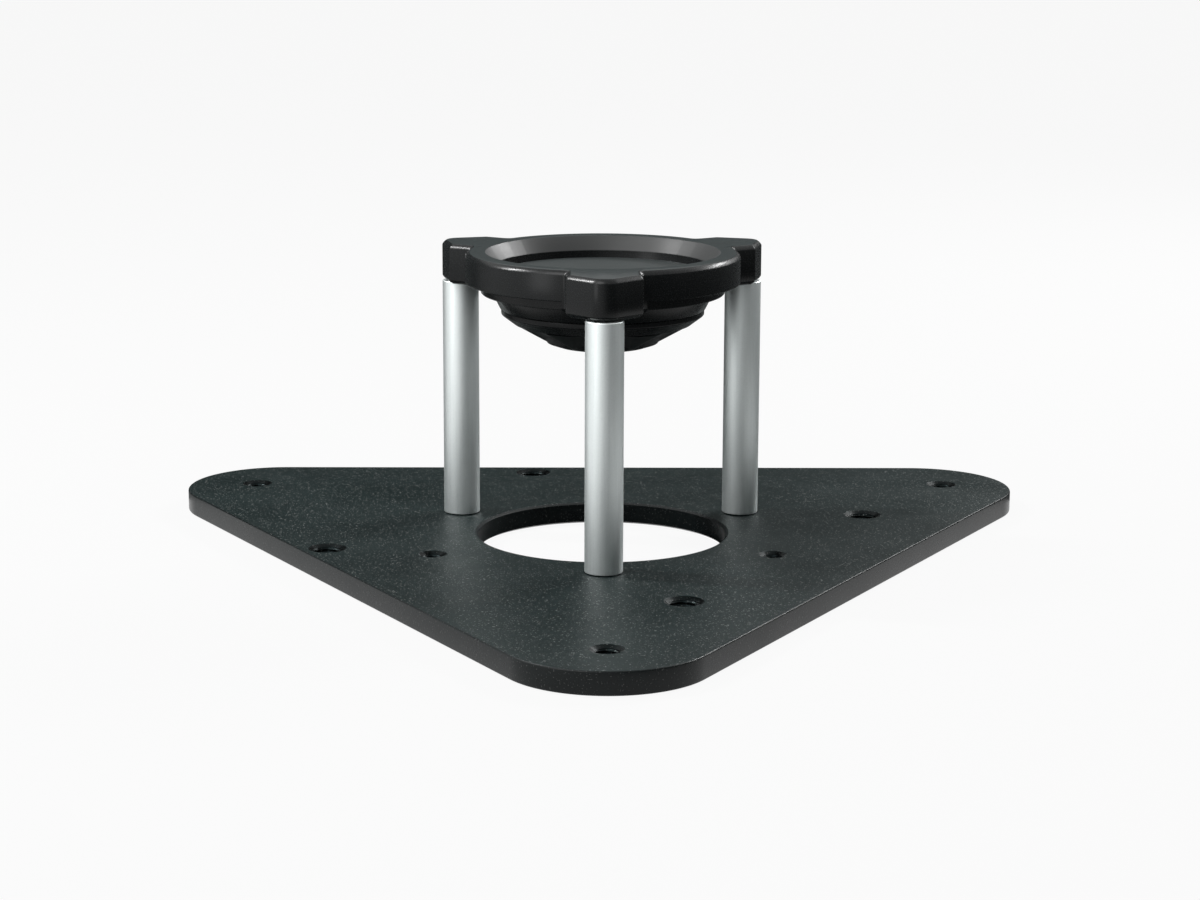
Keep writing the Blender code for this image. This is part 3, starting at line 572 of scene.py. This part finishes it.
def rod_finish():
    """Clear anodised rod: pale and matte, with faint lines along its length."""
    finish = Finish("rod_silver", {"Metallic": 0.9})
    spot = finish.place()
    stretch = {0: spot, 1: (1.0, 1.0, 0.04)}
    drawn = finish.node("ShaderNodeVectorMath", {"operation": "MULTIPLY"}, stretch)
    lines = finish.noise(drawn, 900.0, 2.0)
    grain = finish.noise(spot, 2500.0, 1.0)
    cloud = finish.noise(spot, 30.0, 2.0)
    shade = finish.ramp(lines * 0.4 + grain * 0.4 + cloud * 0.2, *BLEND_SPAN)
    finish.set("Base Color", finish.blend(shade, *ROD_SILVER))
    finish.set("Roughness", finish.ramp(grain, *NOISE_SPAN, 0.42, 0.50))
    finish.bump(grain * 0.5 + lines * 0.5, 0.00003, 0.4)
    return finish.material


def steel_finish(name, colours, roughness):
    """Turned or blackened metal with a fine grain."""
    finish = Finish(name, {"Metallic": 1.0})
    spot = finish.place()
    grain = finish.noise(spot, 1500.0, 2.0)
    cloud = finish.noise(spot, 120.0, 2.0)
    shade = finish.ramp(grain * 0.5 + cloud * 0.5, *BLEND_SPAN)
    finish.set("Base Color", finish.blend(shade, *colours))
    finish.set("Roughness", finish.ramp(grain, *NOISE_SPAN, roughness - 0.05, roughness + 0.05))
    finish.bump(grain, 0.00002, 0.4)
    return finish.material


def plastic_finish(name, colours):
    """Moulded plastic with a fine even grain."""
    finish = Finish(name, {})
    spot = finish.place()
    grain = finish.noise(spot, 1400.0, 2.0)
    cloud = finish.noise(spot, 60.0, 2.0)
    finish.set("Base Color", finish.blend(finish.ramp(cloud, *NOISE_SPAN), *colours))
    finish.set("Roughness", finish.ramp(grain, *NOISE_SPAN, 0.42, 0.55))
    finish.bump(grain, 0.00003, 0.4)
    return finish.material


def plate_loop(inset):
    """The plate's edge: arcs of a third of a turn about the corners' centres, moved in by an inset."""
    corners = []
    for azimuth in ROD_AZIMUTHS.values():
        ends = azimuth - THIRD / 2, azimuth + THIRD / 2
        centre = polar(CORNER_CIRCLE, azimuth)
        corners.append(arc_points(centre, CORNER_RADIUS - inset, *ends, CORNER_COLUMNS))
    return np.concatenate(corners)


def rounded_edge(width, steps):
    """Pairs (inset, depth) round a quarter circle, from a flat face to the wall beside it: the width
    times one less the sine, and one less the cosine, of even angles."""
    angles = np.linspace(0.0, math.pi / 2, steps)
    return np.stack((width * (1.0 - np.sin(angles)), width * (1.0 - np.cos(angles))), axis=1)


def eased_edge(width, steps, flat):
    """As rounded_edge, with each point carried by a share, flat, towards the straight chamfer."""
    share = np.linspace(0.0, 1.0, steps)
    straight = np.stack((width * (1.0 - share), width * share), axis=1)
    return rounded_edge(width, steps) * (1.0 - flat) + straight * flat


def threaded_wall(radius, bottom, top):
    """(r, z) rows of a tapped wall: the radius less the thread's depth times a triangle wave of the
    height in pitches less the angle in turns, which fades to nothing at both ends."""
    rows = int((top - bottom) / THREAD_PITCH * ROWS_PER_PITCH)
    z = np.linspace(top, bottom, rows)[:, None]
    phase = (z / THREAD_PITCH - full_circle(HOLE_COLUMNS) / (2 * math.pi)) % 1.0
    ridge = 1.0 - np.abs(phase * 2.0 - 1.0)
    fade = np.clip(np.minimum(top - z, z - bottom) / THREAD_FADE, 0.0, 1.0)
    return list(zip(radius - THREAD_DEPTH * ridge * fade, z))


def hole_grid(centre, radius, chamfer, columns, wall):
    """Grid down a hole: its chamfered upper mouth, the rows of its wall and its lower mouth."""
    top = PLATE_THICKNESS
    mouth = radius + chamfer * MOUTH_SHARE
    drop = MOUTH_LIP * LIP_DROP
    upper = [(mouth + MOUTH_LIP, top), (mouth, top - drop), (radius, top - chamfer)]
    lower = [(radius, chamfer), (mouth, drop), (mouth + MOUTH_LIP, 0.0)]
    return spun(upper + wall + lower, columns, 0.0, centre)


def screw_seat(azimuth):
    """A blind countersink of 45 degrees in the plate's underside, closed above the screw's shank."""
    slope = SCREW_LAND + SCREW_HOLE - SCREW_SHANK_HOLE
    profile = [(0.0, SCREW_HOLE_DEPTH), (SCREW_SHANK_HOLE, SCREW_HOLE_DEPTH), (SCREW_SHANK_HOLE, slope),
               (SCREW_HOLE, SCREW_LAND), (SCREW_HOLE, 0.0)]
    return spun(profile, SCREW_COLUMNS, 0.0, polar(ROD_CIRCLE, azimuth))


def tapped_holes():
    """Centre and radius of each tapped hole, spaced evenly on its circle."""
    return [(polar(circle, first + 360.0 / count * number), radius)
            for circle, radius, first, count in (CORNER_HOLES, LARGE_HOLES, SMALL_HOLES)
            for number in range(count)]


def make_plate(paint):
    """Each wall is a grid of its own, and each flat face fills the space between the grids' outer rows."""
    top, bottom = PLATE_THICKNESS, 0.0
    edge = rounded_edge(PLATE_EDGE, ARC_POINTS)
    levels = [(inset, top - depth) for inset, depth in edge]
    levels += [(inset, bottom + depth) for inset, depth in edge[::-1]]
    grids = [np.stack([at_height(plate_loop(inset), height) for inset, height in levels])]
    for centre, radius in tapped_holes():
        wall = threaded_wall(radius, HOLE_CHAMFER, top - HOLE_CHAMFER)[1:-1]
        grids.append(hole_grid(centre, radius, HOLE_CHAMFER, HOLE_COLUMNS, wall))
    grids.append(hole_grid((0.0, 0.0), PLATE_BORE, PLATE_EDGE, BORE_COLUMNS, []))
    grids += [screw_seat(azimuth) for azimuth in ROD_AZIMUTHS.values()]
    points, faces = [], []
    for grid in grids:
        faces += grid_faces(grid.shape[0], grid.shape[1], sum(len(block) for block in points))
        points.append(grid.reshape(-1, 3))
    for row, height in ((0, top), (-1, bottom)):
        loops = [grid[row] for grid in grids if math.isclose(grid[row][0][2], height, abs_tol=1e-6)]
        first = sum(len(block) for block in points)
        filled = tessellate_polygon([[Vector(point) for point in loop] for loop in loops])
        faces += [[first + index for index in face] for face in filled]
        points.append(np.concatenate(loops))
    plate = mesh_from("plate", np.concatenate(points), faces, paint, "stand",
                      "base_plate", sharp=20.0)
    mark_holes(plate.data)


def mark_holes(mesh):
    """Gives the mesh a number that is 1 within the mouths of the tapped holes and 0 elsewhere."""
    points = np.empty(len(mesh.vertices) * 3)
    mesh.vertices.foreach_get("co", points)
    points = points.reshape(-1, 3) / MM - AXIS
    inside = np.zeros(len(points))
    for (x, y), radius in tapped_holes():
        reach = radius + HOLE_CHAMFER * MOUTH_SHARE + MARK_MARGIN
        inside[np.hypot(points[:, 0] - x, points[:, 1] - y) < reach] = 1.0
    mesh.attributes.new("hole", "FLOAT", "POINT").data.foreach_set("value", inside)


def make_rods(paint):
    """Three turned rods with a small rounded edge at each end."""
    length = ROD_HEAD - ROD_FOOT
    corners = [(0.0, 0.0, 0.0), (ROD_RADIUS, 0.0, ROD_EDGE), (ROD_RADIUS, length, ROD_EDGE),
               (0.0, length, 0.0)]
    for side, azimuth in ROD_AZIMUTHS.items():
        turned_piece("bright_rod_" + side, corners, paint, "stand", "rod_" + side,
                     ROD_COLUMNS, ROD_FOOT, polar(ROD_CIRCLE, azimuth))


def ear_root():
    """Middle of the arc that joins an ear's shoulder to the ring, with X running out along the ear."""
    side = EAR_HALF + EAR_FILLET
    return np.array((reach_at(RING + EAR_FILLET, side), side))


def ear_loop(inset):
    """One ear's edge from its right root round its tip to its left root, moved in by an inset. The tip
    is the rod's own circle, the flanks touch it, and the shoulders run straight in to the roots."""
    normal = 90.0 - EAR_FLANK
    side = EAR_HALF - inset - EAR_CORNER
    reach = ROD_RADIUS - inset - EAR_CORNER - side * math.sin(math.radians(normal))
    corner = (ROD_CIRCLE + reach / math.cos(math.radians(normal)), side)
    root = ear_root()
    to_ring = 180.0 + math.degrees(math.atan2(root[1], root[0]))
    left = np.concatenate((arc_points(corner, EAR_CORNER, normal, 90.0, CORNER_ARC_COLUMNS),
                           arc_points(root, EAR_FILLET + inset, 270.0, to_ring, ROOT_COLUMNS)))
    tip = arc_points((ROD_CIRCLE, 0.0), ROD_RADIUS - inset, -normal, normal, TIP_COLUMNS)
    return np.concatenate((left[::-1] * (1, -1), tip, left))


def strip_edge(radius):
    """Azimuth from an ear's middle at which a circle leaves the ear's strip."""
    return math.degrees(math.asin(EAR_STRIP / radius))


def ring_loop(inset):
    """The ring's edge from above, moved in by an inset, and which of its points belong to an ear."""
    margin = strip_edge(RING)
    ends = margin + COLUMN_GAP, THIRD - margin - COLUMN_GAP
    middle = (0.0, 0.0)
    before, after = (arc_points(middle, RING - inset, angle, angle, 1) for angle in (-margin, margin))
    land = arc_points(middle, RING - inset, *ends, LAND_COLUMNS)
    ear = np.concatenate((before, ear_loop(inset), after))
    edge = np.concatenate((ear, land))
    loop = [turn_points(edge, azimuth) for azimuth in ROD_AZIMUTHS.values()]
    kind = np.tile(np.repeat((True, False), (len(ear), len(land))), len(ROD_AZIMUTHS))
    return np.concatenate(loop), kind


def ring_columns(radius):
    """Directions of the columns where they stand on a circle: an ear's columns keep to a strip just
    wider than the ear and its roots, so the wall beside an ear runs straight in towards the axis."""
    outer, kind = ring_loop(0.0)
    count = len(kind) // len(ROD_AZIMUTHS)
    ears = int(kind[:count].sum())
    edge = strip_edge(radius)
    around = turn_points(outer[:count], -ROD_AZIMUTHS["front"])
    share = np.degrees(np.arctan2(around[:ears, 1], around[:ears, 0]))
    ear = share / share[-1] * edge
    land = np.linspace(edge + COLUMN_GAP, THIRD - edge - COLUMN_GAP, count - ears)
    sector = np.concatenate((ear, land))
    angles = np.radians(np.concatenate([sector + azimuth for azimuth in ROD_AZIMUTHS.values()]))
    return np.stack((np.cos(angles), np.sin(angles)), axis=-1)


def bowl_profile():
    """(r, z) from the skirt's top down its sphere, across its foot, up the seat's sphere and the lead-in
    cone, and out onto the land."""
    return fillet([(reach_at(SKIRT, RING_DEPTH), -RING_DEPTH, 0.0),
                   *sphere_profile(SKIRT, -RING_DEPTH - 1.0, -BOWL_DEPTH + 0.4, 7),
                   (reach_at(SKIRT, BOWL_DEPTH), -BOWL_DEPTH, 0.25),
                   (reach_at(SEAT, BOWL_DEPTH), -BOWL_DEPTH, 0.2),
                   *sphere_profile(SEAT, -BOWL_DEPTH + 0.5, -LEAD_IN - 0.5, 12),
                   (BOWL_FOOT, -LEAD_IN, 0.3), (BOWL_MOUTH, 0.0, 0.35),
                   (BOWL_MOUTH + LAND_REACH, 0.0, 0.0)])


def make_ring(paint):
    """Rows run from the land over the outside and back up the seat; columns follow the ring's edge.
    Ears keep the full depth, and between them the wall steps back."""
    in_ear = ring_loop(0.0)[1]
    fixed = ring_columns(RING_STEP)
    edge = eased_edge(RING_ROUND, RING_EDGE_ROWS, RING_EDGE_FLAT)

    def split_row(ear_inset, ear_height, radius, height):
        """The ear's own edge at one height beside a circle at another."""
        flat = np.where(in_ear[:, None], ring_loop(ear_inset)[0], ring_columns(radius) * radius)
        return at_height(flat, np.where(in_ear, ear_height, height))

    rows = [at_height(ring_loop(inset)[0], -depth) for inset, depth in edge]
    rows.append(split_row(0.0, -EAR_WAIST, RING, -RING_WALL + STEP_EASE))
    rows.append(split_row(0.0, -RING_DEPTH + RING_ROUND, RING - STEP_EASE, -RING_WALL))
    drops = edge[::-1][1:]
    across = np.linspace(RING - STEP_FIRST, RING_STEP + STEP_LAST, len(drops))
    rows += [split_row(inset, -RING_DEPTH + depth, radius, -RING_WALL)
             for (inset, depth), radius in zip(drops, across)]
    rows += [at_height(fixed * (RING_STEP - inset), np.where(in_ear, -RING_DEPTH, -depth))
             for inset, depth in STEP_WALL_ROWS]
    rows += [at_height(fixed * radius, height) for radius, height in bowl_profile()]
    grid = np.stack(rows) + (0.0, 0.0, MOUTH)
    faces = grid_faces(grid.shape[0], grid.shape[1], wrap_rows=True)
    mesh_from("ring", grid.reshape(-1, 3), faces, paint, "stand", "bowl_ring")


def make_deck(paint):
    """The deck's turned profile: its rim is the ball's sphere, and a chamfered hole is on its axis."""
    shoulder = DECK_TOP - DECK_EDGE
    rim = reach_at(BALL, shoulder)
    corners = [(DECK_HOLE + DECK_EDGE, DECK_TOP, 0.1), (rim - DECK_EDGE, DECK_TOP, 0.25),
               (rim, shoulder, 0.2), *sphere_profile(BALL, DECK_TOP - 1.5, DECK_FOOT + 0.8, 6),
               (reach_at(BALL, DECK_FOOT), DECK_FOOT, 0.2), (DECK_POCKET, DECK_FOOT, 0.2),
               (DECK_POCKET, DECK_POCKET_TOP, 0.3), (DECK_HOLE, DECK_POCKET_TOP, 0.1),
               (DECK_HOLE, shoulder, 0.05)]
    turned_piece("deck", corners, paint, "levelling_ball", "deck_plate", TURNED_COLUMNS)


def make_cup(paint):
    """The cup's turned profile: a short wall, then the first part of the cone."""
    floor = CUP_FOOT + CUP_FLOOR
    corners = [(CUP_BORE, CUP_FOOT, 0.0), (CUP_FOOT_RADIUS, CUP_FOOT, 0.4),
               (CUP_RADIUS, CUP_WALL_FOOT, 0.8), (CUP_RADIUS, CUP_TOP, 0.3), (CUP_INSIDE, CUP_TOP, 0.2),
               (CUP_INSIDE, floor, 0.4), (CUP_BORE, floor, 0.0)]
    turned_piece("cup", corners, paint, "cup", "clamp_cup", TURNED_COLUMNS)


def smooth_max(first, second, width):
    """The greater of two fields, with the crease between them rounded over a width: their sum plus the
    root of their difference squared plus the width squared, all halved."""
    return (first + second + np.sqrt((first - second) ** 2 + width * width)) / 2


def knob_height(r, turn):
    """Height of the knob's outside at a radius and at an angle, in radians, from the nearest scallop's
    middle: the greater of the cone's and that of a cylinder which runs along its slope, cut into it."""
    sine, cosine = math.sin(KNOB_SLOPE), math.cos(KNOB_SLOPE)
    middle = sine * (KNOB_RIM + KNOB_CONE_RADIUS) / 2 - cosine * (KNOB_TOP + KNOB_CONE_FOOT) / 2
    across = np.clip(r * np.sin(turn), -SCALLOP_RADIUS, SCALLOP_RADIUS)
    near = middle + SCALLOP_RADIUS - SCALLOP_DEPTH - np.sqrt(SCALLOP_RADIUS ** 2 - across ** 2)
    cone = KNOB_CONE_FOOT + (r - KNOB_CONE_RADIUS) * math.tan(KNOB_SLOPE)
    return smooth_max(cone, (sine * r * np.cos(turn) - near) / cosine, SCALLOP_CREASE)


def make_knob(paint):
    """Outside: for each angle the radius runs from the foot to the rim, where the surface meets the top.
    Inside: the washer recess, the web and the foot pocket."""
    angle = full_circle(KNOB_COLUMNS)
    step = 2 * math.pi / SCALLOPS
    turn = (angle - math.radians(SCALLOP_FIRST) + step / 2) % step - step / 2
    rim = np.full(KNOB_COLUMNS, KNOB_RIM)
    for _ in range(RIM_ROUNDS):
        past = knob_height(rim, turn) - KNOB_TOP + KNOB_EDGE
        rim = np.minimum(KNOB_RIM, rim - past * RIM_DAMPING)
    start = KNOB_CONE_RADIUS - KNOB_FOOT_INSET
    outside = start + (rim - start) * np.linspace(0.0, 1.0, KNOB_ROWS)[:, None]
    foot = fillet([(KNOB_POCKET, KNOB_FOOT, 0.2), (KNOB_FOOT_RADIUS, KNOB_FOOT, 0.3),
                   (*KNOB_FOOT_BEND, 0.0)])
    inner = fillet([(KNOB_RECESS, KNOB_TOP, 0.2), (KNOB_RECESS, KNOB_WEB_TOP, 0.2),
                    (KNOB_BORE, KNOB_WEB_TOP, 0.1), (KNOB_BORE, KNOB_WEB_FOOT, 0.1),
                    (KNOB_POCKET, KNOB_WEB_FOOT, 0.2)])
    profile = [*foot, *zip(outside, knob_height(outside, turn)), (rim - KNOB_EDGE, KNOB_TOP), *inner]
    grid = spun(profile, KNOB_COLUMNS, MOUTH)
    faces = grid_faces(len(grid), KNOB_COLUMNS, wrap_rows=True)
    mesh_from("knob", grid.reshape(-1, 3), faces, paint, "knob", "hand_knob", sharp=40.0)


def dress_nodes(paint, *nodes):
    """Gives solids that stay as they are their finish."""
    for node in nodes:
        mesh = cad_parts[node].data
        mesh.materials.clear()
        mesh.materials.append(paint)


def standing(place, right, up, back):
    """World matrix of a lamp or camera from its place and its three axes."""
    matrix = Matrix((right, up, back)).transposed().to_4x4()
    matrix.translation = place
    return matrix


def add_lamp(name, place, target, size, power):
    """A rectangular lamp that faces its target, with its sides level."""
    light = bpy.data.lights.new(name, "AREA")
    light.shape = "RECTANGLE"
    light.size, light.size_y = size
    light.energy = power
    back = (Vector(place) - Vector(target)).normalized()
    right = Vector((0.0, 0.0, 1.0)).cross(back).normalized()
    lamp = bpy.data.objects.new(name, light)
    lamp.matrix_world = standing(Vector(place), right, back.cross(right), back)
    bpy.context.scene.collection.objects.link(lamp)


def make_camera():
    """Stands where the photograph was taken from: 1.2 m off, looking 12 degrees down."""
    x, y, z = CAMERA_PLACE
    place = Vector((x, y + AXIS[1] * MM, z + PLATE_THICKNESS * MM))
    level = math.cos(CAMERA_PITCH)
    forward = Vector((math.sin(CAMERA_YAW) * level, math.cos(CAMERA_YAW) * level, -math.sin(CAMERA_PITCH)))
    right = Vector((math.cos(CAMERA_YAW), -math.sin(CAMERA_YAW), 0.0))
    up = right.cross(forward)
    cosine, sine = math.cos(CAMERA_ROLL), math.sin(CAMERA_ROLL)
    camera = bpy.data.cameras.new("camera")
    camera.lens = CAMERA_LENS
    camera.sensor_width = CAMERA_SENSOR
    camera.clip_end = CAMERA_REACH
    eye = bpy.data.objects.new("camera", camera)
    eye.matrix_world = standing(place, right * cosine + up * sine, up * cosine - right * sine, -forward)
    bpy.context.scene.collection.objects.link(eye)
    bpy.context.scene.camera = eye


def make_world():
    """White where it is seen or reflected, and a plain soft grey as a source of light."""
    world = bpy.data.worlds.new("studio")
    bpy.context.scene.world = world
    world.use_nodes = True
    world.node_tree.nodes.clear()
    nodes = Nodes(world.node_tree)
    soft = nodes.node("ShaderNodeBackground", None, {"Color": SOFT_GREY, "Strength": SOFT_STRENGTH})
    white = nodes.node("ShaderNodeBackground", None, {"Color": WHITE, "Strength": 1.0})
    mixed = nodes.node("ShaderNodeMixShader", None, {0: nodes.seen(), 1: soft, 2: white})
    out = world.node_tree.nodes.new("ShaderNodeOutputWorld")
    nodes.put(out.inputs["Surface"], mixed)


def stage_piece(name, points, faces, finish):
    """A piece of the stage, from points in metres."""
    mesh = bpy.data.meshes.new(name)
    mesh.from_pydata(points, [], faces)
    mesh.materials.append(finish.material)
    piece = bpy.data.objects.new(name, mesh)
    bpy.context.scene.collection.objects.link(piece)
    return piece


def make_floor():
    """A wide pale floor: mostly white where it is seen, with a share of plain paint that keeps a shadow."""
    finish = Finish("floor", {"Roughness": 1.0, "Specular IOR Level": 0.0, "Base Color": FLOOR_PAINT})
    paint = Wire(finish, finish.shader.outputs[0])
    white = finish.node("ShaderNodeEmission")
    mixed = finish.node("ShaderNodeMixShader", None, {0: finish.seen() * FLOOR_WHITE, 1: paint, 2: white})
    finish.put(finish.tree.nodes["Material Output"].inputs["Surface"], mixed)
    half = FLOOR_HALF
    points = [(-half, -half, 0.0), (half, -half, 0.0), (half, half, 0.0), (-half, half, 0.0)]
    stage_piece("floor", points, [(0, 1, 2, 3)], finish).location.z = FLOOR_HEIGHT


def make_card():
    """A grey card that only reflections show: a disc fills the plate's bore, and a ring lies round the
    object, nearer behind it than in front, turns up half a metre out and fades away on the left side.
    Its rows are circles about the bowl's axis, and the gap between disc and ring has no faces."""
    finish = Finish("grey_card", {"Roughness": 1.0, "Specular IOR Level": 0.0, "Base Color": CARD_GREY})
    spot = finish.place()
    x, y, _ = finish.parts(spot)
    toward_x, toward_y = polar(1.0, CARD_MIDDLE)
    radius = finish.radius(spot)
    fade = finish.ramp((x * toward_x + y * toward_y) / radius, *CARD_FADE)
    finish.set("Alpha", fade.math("MAXIMUM", finish.ramp(radius, *CARD_DISC_FADE, 1.0, 0.0)))
    angles = np.radians(np.linspace(CARD_MIDDLE - 180.0, CARD_MIDDLE + 180.0, CARD_POINTS))
    behind = np.clip((np.sin(angles) - CARD_BEHIND) / CARD_BEHIND, 0.0, 1.0)
    near = CARD_NEAR - CARD_NEARER * behind
    rows = [(CARD_DISC[0], CARD_HEIGHT), (CARD_DISC[1], CARD_HEIGHT), (near, CARD_HEIGHT),
            (CARD_FAR, CARD_HEIGHT), (CARD_FAR, CARD_TOP)]
    points = [np.stack((r * np.cos(angles), r * np.sin(angles) + AXIS[1] * MM,
                        np.full(CARD_POINTS, height)), axis=-1) for r, height in rows]
    faces = [(first + i, first + i + 1, first + i + 1 + CARD_POINTS, first + i + CARD_POINTS)
             for first in (0, 2 * CARD_POINTS, 3 * CARD_POINTS) for i in range(CARD_POINTS - 1)]
    card = stage_piece("grey_card", np.concatenate(points).tolist(), faces, finish)
    card.visible_camera = False
    card.visible_shadow = False
    card.visible_diffuse = False


def main():
    """Makes the fine pieces, gives the solids that stay their finish, and sets the stage."""
    screw = steel_finish("screw_black", SCREW_BLACK, 0.35)
    steel = steel_finish("clamp_steel", CLAMP_STEEL, 0.32)
    make_plate(plate_finish())
    make_rods(rod_finish())
    make_ring(ring_finish())
    # The deck is painted greyer than the ring's black: its own black plus a painted sheen
    make_deck(anodised_finish("deck_black", DECK_BLACK_AND_SHEEN, 0.4, 1.45))
    make_cup(anodised_finish("cup_black", CUP_BLACK, 0.26, 1.26))
    make_knob(anodised_finish("knob_black", KNOB_BLACK, 0.34, 1.26))
    dress_nodes(steel_finish("ball_metal", BALL_METAL, 0.35), "half_ball")
    dress_nodes(steel, "clamp_dome", "clamp_rod", "retaining_ring")
    dress_nodes(steel_finish("bush_brass", BUSH_BRASS, 0.3), "knob_bush")
    dress_nodes(plastic_finish("washer_plastic", WASHER_PLASTIC), "friction_washer")
    dress_nodes(screw, "deck_screw_1", "deck_screw_2", "deck_screw_3")
    for side in ROD_AZIMUTHS:
        dress_nodes(screw, "base_screw_" + side, "ear_stud_" + side)
    make_camera()
    make_world()
    make_floor()
    make_card()
    for name, lamp in LAMPS.items():
        add_lamp(name, *lamp)
    bpy.context.scene.view_settings.view_transform = "Standard"


main()
